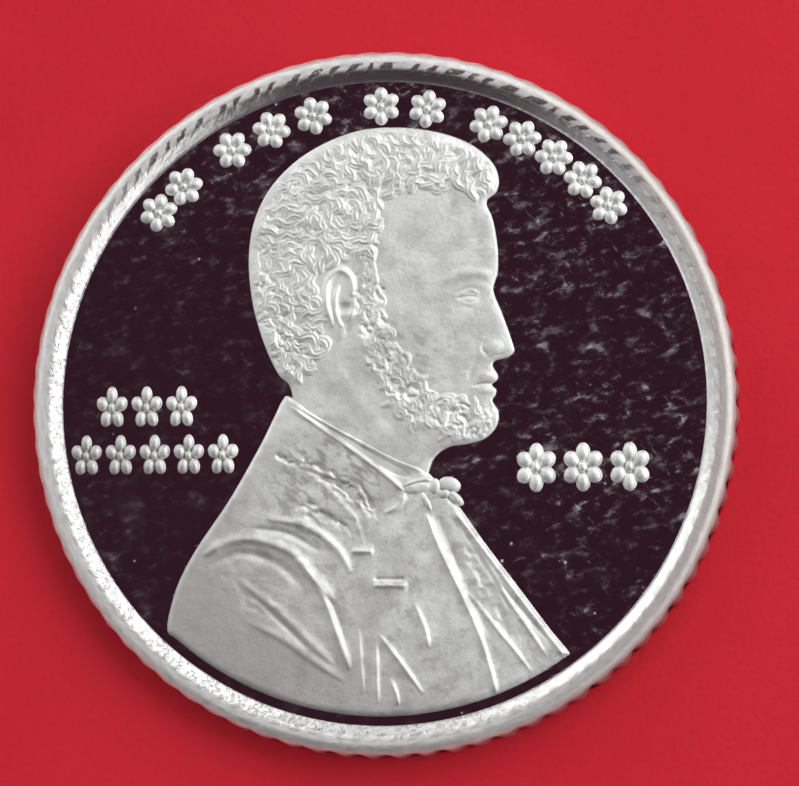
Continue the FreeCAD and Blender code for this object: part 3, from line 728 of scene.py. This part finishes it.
def sculptCoat(clay, gap):
    size = coatDetail
    clay.height += size["plate"] + size["swell"] * (1 - np.exp(-gap / size["swellReach"]))
    clay.mound((-0.36, -0.62), (0.30, 0.30), 0.016, 30)
    clay.mound((0.02, -0.62), (0.22, 0.34), 0.010)
    # shirt collar, coat collar and lapel
    clay.stroke([(-0.285, 0.005), (-0.200, -0.052), (-0.070, -0.122), (0.050, -0.184), (0.125, -0.215)],
                0.010, 0.014, 0.006, fade=0.08)
    clay.stroke([(-0.262, -0.022), (-0.120, -0.112), (0.000, -0.190), (0.090, -0.235)],
                0.012, -0.024, fade=0.15)
    clay.stroke([(-0.290, -0.010), (-0.200, -0.072), (-0.090, -0.150), (0.010, -0.228), (0.065, -0.278)],
                0.010, 0.022, 0.007, fade=0.1)
    clay.stroke([(0.065, -0.278), (0.052, -0.318), (0.000, -0.345)], 0.009, 0.016)
    clay.stroke([(0.058, -0.262), (0.105, -0.245), (0.158, -0.236)], 0.007, 0.016)
    # crumples under the collar
    random = np.random.default_rng(size["seed"])
    clay.dapple([(-0.32, -0.165), (-0.20, -0.215), (-0.10, -0.270), (-0.03, -0.345)],
                0.022, 26, -0.016, random, size=0.016, spin=0.4)
    clay.dapple([(-0.24, -0.325), (-0.17, -0.350), (-0.10, -0.400)],
                0.018, 12, -0.011, random, size=0.016, spin=0.4)
    clay.dapple([(0.20, -0.39), (0.31, -0.58), (0.42, -0.75)], 0.034, 26, -0.007, random, size=0.019, spin=0.25)
    clay.dapple([(-0.50, -0.52), (-0.38, -0.60), (-0.26, -0.70)],
                0.050, 10, -0.006, random, size=0.024, spin=0.3)
    clay.stroke([(-0.245, -0.205), (-0.175, -0.235), (-0.110, -0.275), (-0.075, -0.335)],
                0.011, -0.014, skirt=0)
    clay.stroke([(-0.075, -0.245), (-0.045, -0.300), (-0.015, -0.365)], 0.010, -0.014, skirt=0)
    clay.stroke([(-0.225, -0.335), (-0.165, -0.352), (-0.110, -0.395)], 0.012, -0.016, skirt=0)
    clay.stroke([(-0.150, -0.300), (-0.095, -0.350), (-0.060, -0.440)], 0.012, 0.010)
    # the front edge and the folds beside it
    clay.stroke([(0.132, -0.345), (0.172, -0.450), (0.248, -0.610), (0.308, -0.754), (0.350, -0.905)],
                0.009, 0.026, 0.007, fade=0.05)
    clay.stroke([(0.165, -0.345), (0.212, -0.460), (0.275, -0.600), (0.330, -0.730)], 0.020, -0.014)
    clay.stroke([(0.280, -0.430), (0.372, -0.590), (0.438, -0.690), (0.505, -0.790)], 0.010, 0.018, 0.007)
    clay.stroke([(0.262, -0.590), (0.340, -0.690), (0.398, -0.760), (0.455, -0.835)], 0.010, 0.018, 0.007)
    clay.stroke([(0.235, -0.380), (0.330, -0.530), (0.440, -0.660), (0.530, -0.760)], 0.010, -0.012)
    clay.stroke([(0.215, -0.335), (0.300, -0.446), (0.400, -0.580), (0.500, -0.714), (0.556, -0.785)],
                0.013, 0.018, 0.008, fade=0.05)
    # shoulder seam and sleeve
    seam = [(-0.560, -0.470), (-0.480, -0.430), (-0.400, -0.422), (-0.290, -0.460), (-0.205, -0.550), (-0.150, -0.620)]
    clay.stroke(seam, 0.020, 0.026, 0.013, fade=0.1)
    clay.stroke([(-0.540, -0.500), (-0.440, -0.462), (-0.320, -0.500), (-0.240, -0.580)], 0.018, -0.018)
    clay.stroke([(-0.370, -0.355), (-0.240, -0.382), (-0.145, -0.452), (-0.100, -0.530)], 0.018, 0.024, 0.011)
    clay.stroke([(-0.420, -0.385), (-0.300, -0.402), (-0.190, -0.462)], 0.013, -0.016)
    clay.stroke([(-0.270, -0.480), (-0.190, -0.590), (-0.142, -0.720), (-0.104, -0.825)],
                0.016, 0.027, 0.010, fade=0.12)
    clay.stroke([(-0.245, -0.500), (-0.165, -0.610), (-0.115, -0.740)], 0.014, -0.014)
    clay.stroke([(-0.450, -0.540), (-0.330, -0.640), (-0.222, -0.745), (-0.150, -0.810)], 0.022, 0.017, 0.013)
    clay.stroke([(-0.430, -0.670), (-0.310, -0.730), (-0.210, -0.800), (-0.120, -0.860)], 0.022, 0.016, 0.013)
    clay.stroke([(-0.430, -0.570), (-0.320, -0.670), (-0.230, -0.760)], 0.012, -0.012)
    # pleats at the bottom and two small bars on the chest
    clay.stroke([(-0.015, -0.715), (0.050, -0.800), (0.122, -0.900)], 0.010, 0.022, 0.007)
    clay.stroke([(-0.022, -0.740), (-0.020, -0.840), (-0.017, -0.930)], 0.008, 0.018)
    clay.stroke([(-0.075, -0.700), (-0.070, -0.800), (-0.062, -0.900)], 0.009, 0.012)
    clay.stroke([(0.020, -0.850), (0.040, -0.900), (0.045, -0.935)], 0.008, 0.018)
    clay.stroke([(0.095, -0.620), (0.128, -0.700), (0.140, -0.760)], 0.010, 0.018)
    clay.stroke([(-0.098, -0.460), (-0.030, -0.462)], 0.007, 0.026, fade=0.1)
    clay.stroke([(-0.030, -0.565), (0.075, -0.568)], 0.008, 0.028, fade=0.1)
    clay.stroke([(-0.030, -0.545), (0.070, -0.548)], 0.007, -0.016, fade=0.1)


reliefPiece("bustCoat", coatOutline, coatDetail, sculptCoat)
print("bust sculpted")


def addDome(bm, middle, radii, turn, height, level, tall=1.0, fineness=3):
    made = bmesh.ops.create_icosphere(bm, subdivisions=fineness, radius=1.0)["verts"]
    bmesh.ops.transform(bm, verts=made, matrix=Matrix.Translation((*middle, level)) @ Matrix.Diagonal((1, tall, 1, 1))
                        @ Matrix.Rotation(turn, 4, "Z") @ Matrix.Diagonal((radii[0], radii[1], height, 1)))


petalDetail = {"out": 0.60, "length": 0.41, "width": 0.345, "eye": 0.27, "eyeHeight": 1.15}  # shares of a rosette


def addRosette(bm, middle, radius, petals, turn, height, level, tall):
    size = petalDetail
    out, eye = size["out"] * radius, size["eye"] * radius
    for index in range(petals):
        angle = turn + math.tau * index / petals
        spot = (middle[0] + out * math.cos(angle), middle[1] + out * math.sin(angle) * tall)
        addDome(bm, spot, (size["length"] * radius, size["width"] * radius), angle, height, level, tall)
    addDome(bm, middle, (eye, eye), 0, height * size["eyeHeight"], level, tall)


tieDetail = {"height": 0.045, "lift": 0.06, "folds": [  # middle, radii, turn in degrees
    ((0.104, -0.266), (0.050, 0.020), 8), ((0.204, -0.256), (0.034, 0.024), -14),
    ((0.159, -0.262), (0.018, 0.026), 0), ((0.222, -0.298), (0.030, 0.015), -42),
    ((0.132, -0.308), (0.036, 0.012), -62), ((0.190, -0.285), (0.018, 0.014), 30),
]}


def makeNeckTie(size):
    bm = bmesh.new()
    for middle, radii, turn in size["folds"]:
        spot = (middle[0] * share, middle[1] * share)
        addDome(bm, spot, (radii[0] * share, radii[1] * share), math.radians(turn), size["height"] * mm,
                fieldTop + size["lift"] * mm)
    joinCoin(finishMesh("neckTie", bm, [frostSilver]))


ornamentDetail = {  # rows: how many, their middle in shares of the field, size in mm
    "height": 0.10, "arcRadius": 5.06, "arcRosette": 0.325, "rosettes": (3, 0.615, -0.205, 0.36), "pitch": 2.2,
    "groups": [(139.5, 132.5), (120.8, 112.3, 103.8), (90.5, 81.5), (69.3, 62.2, 55.1, 48.0, 40.9)],
    "rows": [(3, -0.735, -0.008, 0.27), (5, -0.71, -0.157, 0.265)], "rosetteTall": 1.15, "rowTall": 1.35,
}


def ornamentPiece(name, places, tall=1.0):
    bm = bmesh.new()
    height = ornamentDetail["height"] * mm
    for middle, radius, petals, turn in places:
        addRosette(bm, (middle[0] * mm, middle[1] * mm), radius * mm, petals, turn, height, fieldTop, tall)
    joinCoin(finishMesh(name, bm, [frostSilver]))


def rowPlaces(count, across, up, radius, petals):
    field = coinDetail["fieldRadius"]
    pitch = ornamentDetail["pitch"] * radius
    spots = [(field * across + pitch * (step - (count - 1) / 2), field * up) for step in range(count)]
    return [(spot, radius, petals, math.pi / 2) for spot in spots]


def arcPlaces(size):
    result = []
    for group in size["groups"]:
        for degrees in group:
            angle = math.radians(degrees)
            spot = (size["arcRadius"] * math.cos(angle), size["arcRadius"] * math.sin(angle))
            result.append((spot, size["arcRosette"], 6, angle))
    return result


makeNeckTie(tieDetail)
ornamentPiece("arcRosettes", arcPlaces(ornamentDetail))
ornamentPiece("sideRosettes", rowPlaces(*ornamentDetail["rosettes"], 6), ornamentDetail["rosetteTall"])
upperRow, lowerRow = ornamentDetail["rows"]
ornamentPiece("pearlRows", rowPlaces(*upperRow, 5) + rowPlaces(*lowerRow, 5), ornamentDetail["rowTall"])


reverseDetail = {
    "medallion": 2.6, "raised": 0.07, "root": 0.15, "edge": 0.05, "steps": 160, "petals": 8, "rosette": 1.9,
    "rosetteHeight": 0.05, "beads": 72, "beadRing": 5.1, "bead": 0.11, "beadHeight": 0.06, "wreath": 3.85,
    "leaves": 30, "leaf": (0.42, 0.17), "leafHeight": 0.07, "leafSwing": 0.22, "wreathGap": 8, "wreathSpan": 158,
    "lean": (90, 28),
}


def makeReverse(size):  # the hidden side: a rosette on a disc inside a wreath and a ring of beads
    face, disc = fieldLow / mm - size["raised"], size["medallion"]
    root = face + size["root"]
    bm = lathe([(0, root, 0), (disc, root, 0), (disc, face, size["edge"]), (0, face, 0)], size["steps"])
    addRosette(bm, (0, 0), size["rosette"] * mm, size["petals"], 0, size["rosetteHeight"] * mm, face * mm, 1.0)

    def around(radius, angle):
        return radius * mm * math.cos(angle), radius * mm * math.sin(angle)

    bead = size["bead"] * mm
    for index in range(size["beads"]):
        spot = around(size["beadRing"], math.tau * index / size["beads"])
        addDome(bm, spot, (bead, bead), 0, size["beadHeight"] * mm, fieldLow, fineness=2)
    leaf = metres(*size["leaf"])
    across, slant = size["lean"]
    for index in range(size["leaves"]):
        side = index % 2 * 2 - 1
        reach = math.radians(size["wreathGap"] + size["wreathSpan"] * (index + 0.5) / size["leaves"])
        for way in (-1, 1):
            angle = math.radians(-90) + way * reach
            lean = angle + way * math.radians(across - slant * side)
            spot = around(size["wreath"] + size["leafSwing"] * side, angle)
            addDome(bm, spot, leaf, lean, size["leafHeight"] * mm, fieldLow, fineness=2)
    joinCoin(finishMesh("coinReverse", bm, [frostSilver]))


makeReverse(reverseDetail)
print("ornaments set")


padDetail = {
    "round": 0.3, "seatRadius": 5.94, "seatDepth": 0.35, "seatRound": 0.06, "seatFoot": 0.05, "footRound": 0.02,
    "seatSupport": 0.2, "edgeSupport": 0.6, "steps": 240,
}


def makePad(size):
    outer = padHigh.x / mm
    top, low = padHigh.z / mm, padLow.z / mm
    radius, seat = size["seatRadius"], top - size["seatDepth"]
    bm = lathe([
        (0, seat, 0), (radius - size["seatFoot"], seat, 0), (radius, seat, size["footRound"]),
        (radius, top, size["seatRound"]), (radius + size["seatSupport"], top, 0),
        (outer - size["edgeSupport"], top, 0), (outer, top, size["round"]),
        (outer, low, size["round"]), (outer - size["edgeSupport"], low, 0), (0, low, 0),
    ], size["steps"])
    return finishMesh("padFoam", bm, [redFoam])


padFoam = makePad(padDetail)
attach(padFoam, "pad")
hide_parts("red_pad")
print("pad turned")


# the shells keep their solids and take the clear finish
for name in ("capsule_base", "capsule_lid"):
    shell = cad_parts[name]
    shell.data.materials.clear()
    shell.data.materials.append(clearAcrylic)
print("shells finished")


floorDetail = {"half": 0.6, "drop": 0.02}  # metres across from the middle, and mm under the foot


def makeFloor(size):
    bm = bmesh.new()
    bmesh.ops.create_grid(bm, x_segments=1, y_segments=1, size=size["half"])
    bm.transform(Matrix.Translation((0, 0, -size["drop"] * mm)))
    finishMesh("floor", bm, [paleFloor])


worldDetail = {
    "front": -0.60, "strength": 0.78,
    "stops": [(0.0, (0.76, 0.76, 0.75)), (0.3, (0.84, 0.83, 0.83)), (0.70, (0.66, 0.65, 0.65)),
              (0.85, (0.24, 0.21, 0.23)), (0.93, (0.056, 0.020, 0.034)), (1.0, (0.044, 0.014, 0.027))],
}


def makeWorld(size):  # bright at the horizon, dark overhead and, less so, on the near side
    world = bpy.data.worlds.new("softRoom")
    bpy.context.scene.world = world
    look = Finish(world, "Generated")
    up = look.reach("Z")
    height = up.maths("MAXIMUM", up.twin("Y").maths("MULTIPLY_ADD", size["front"], up))
    colour = look.add("ShaderNodeValToRGB", {"stops": size["stops"]}, {0: height})
    shader = look.add("ShaderNodeBackground", {}, {"Color": colour, "Strength": size["strength"]})
    look.wear(shader, "ShaderNodeOutputWorld")


lights = {  # softboxes: where they stand from the coin (mm), their width, height and power
    "keyLight": {"place": (41, 33, 50), "size": (84, 72), "power": 0.0375},
    "sideLight": {"place": (86, -38, 74), "size": (140, 50), "power": 0.042},
    "fillLight": {"place": (-75, 75, 50), "size": (110, 50), "power": 0.028},
    "topLight": {"place": (-48, -8, 88), "size": (44, 44), "power": 0.009},
}


def aimed(place, target, up=Vector((0, 1, 0))):
    back = (place - target).normalized()
    right = up.cross(back).normalized()
    turn = Matrix((right, back.cross(right), back)).transposed().to_4x4()
    return Matrix.Translation(place) @ turn


def makeLights():
    for name, size in lights.items():
        lamp = bpy.data.lights.new(name, "AREA")
        lamp.shape = "RECTANGLE"
        lamp.size, lamp.size_y = metres(*size["size"])
        lamp.energy = size["power"]
        light = bpy.data.objects.new(name, lamp)
        bpy.context.scene.collection.objects.link(light)
        place = Vector((0, 0, coinHigh.z)) + Vector(size["place"]) * mm
        light.matrix_world = aimed(place, Vector((0, 0, coinHigh.z)), up=Vector((0, 0, 1)))


cameraDetail = {
    "tilt": 8.5, "towards": -45, "distance": 150, "viewWidth": 13.55, "aim": (0.235, 0.195), "sensor": 36,
    "clip": 0.001,
}


def makeCamera(size):
    tilt, towards = math.radians(size["tilt"]), math.radians(size["towards"])
    target = Vector((*metres(*size["aim"]), coinHigh.z))
    way = Vector((math.sin(tilt) * math.cos(towards), math.sin(tilt) * math.sin(towards), math.cos(tilt)))
    lens = bpy.data.cameras.new("camera")
    lens.sensor_width = size["sensor"]
    lens.lens = lens.sensor_width * size["distance"] / size["viewWidth"]
    lens.clip_start = size["clip"]
    camera = bpy.data.objects.new("camera", lens)
    bpy.context.scene.collection.objects.link(camera)
    camera.matrix_world = aimed(target + way * size["distance"] * mm, target)
    bpy.context.scene.camera = camera


makeFloor(floorDetail)
makeWorld(worldDetail)
makeLights()
makeCamera(cameraDetail)
bpy.context.scene.view_settings.view_transform = "Standard"
print("stage set")
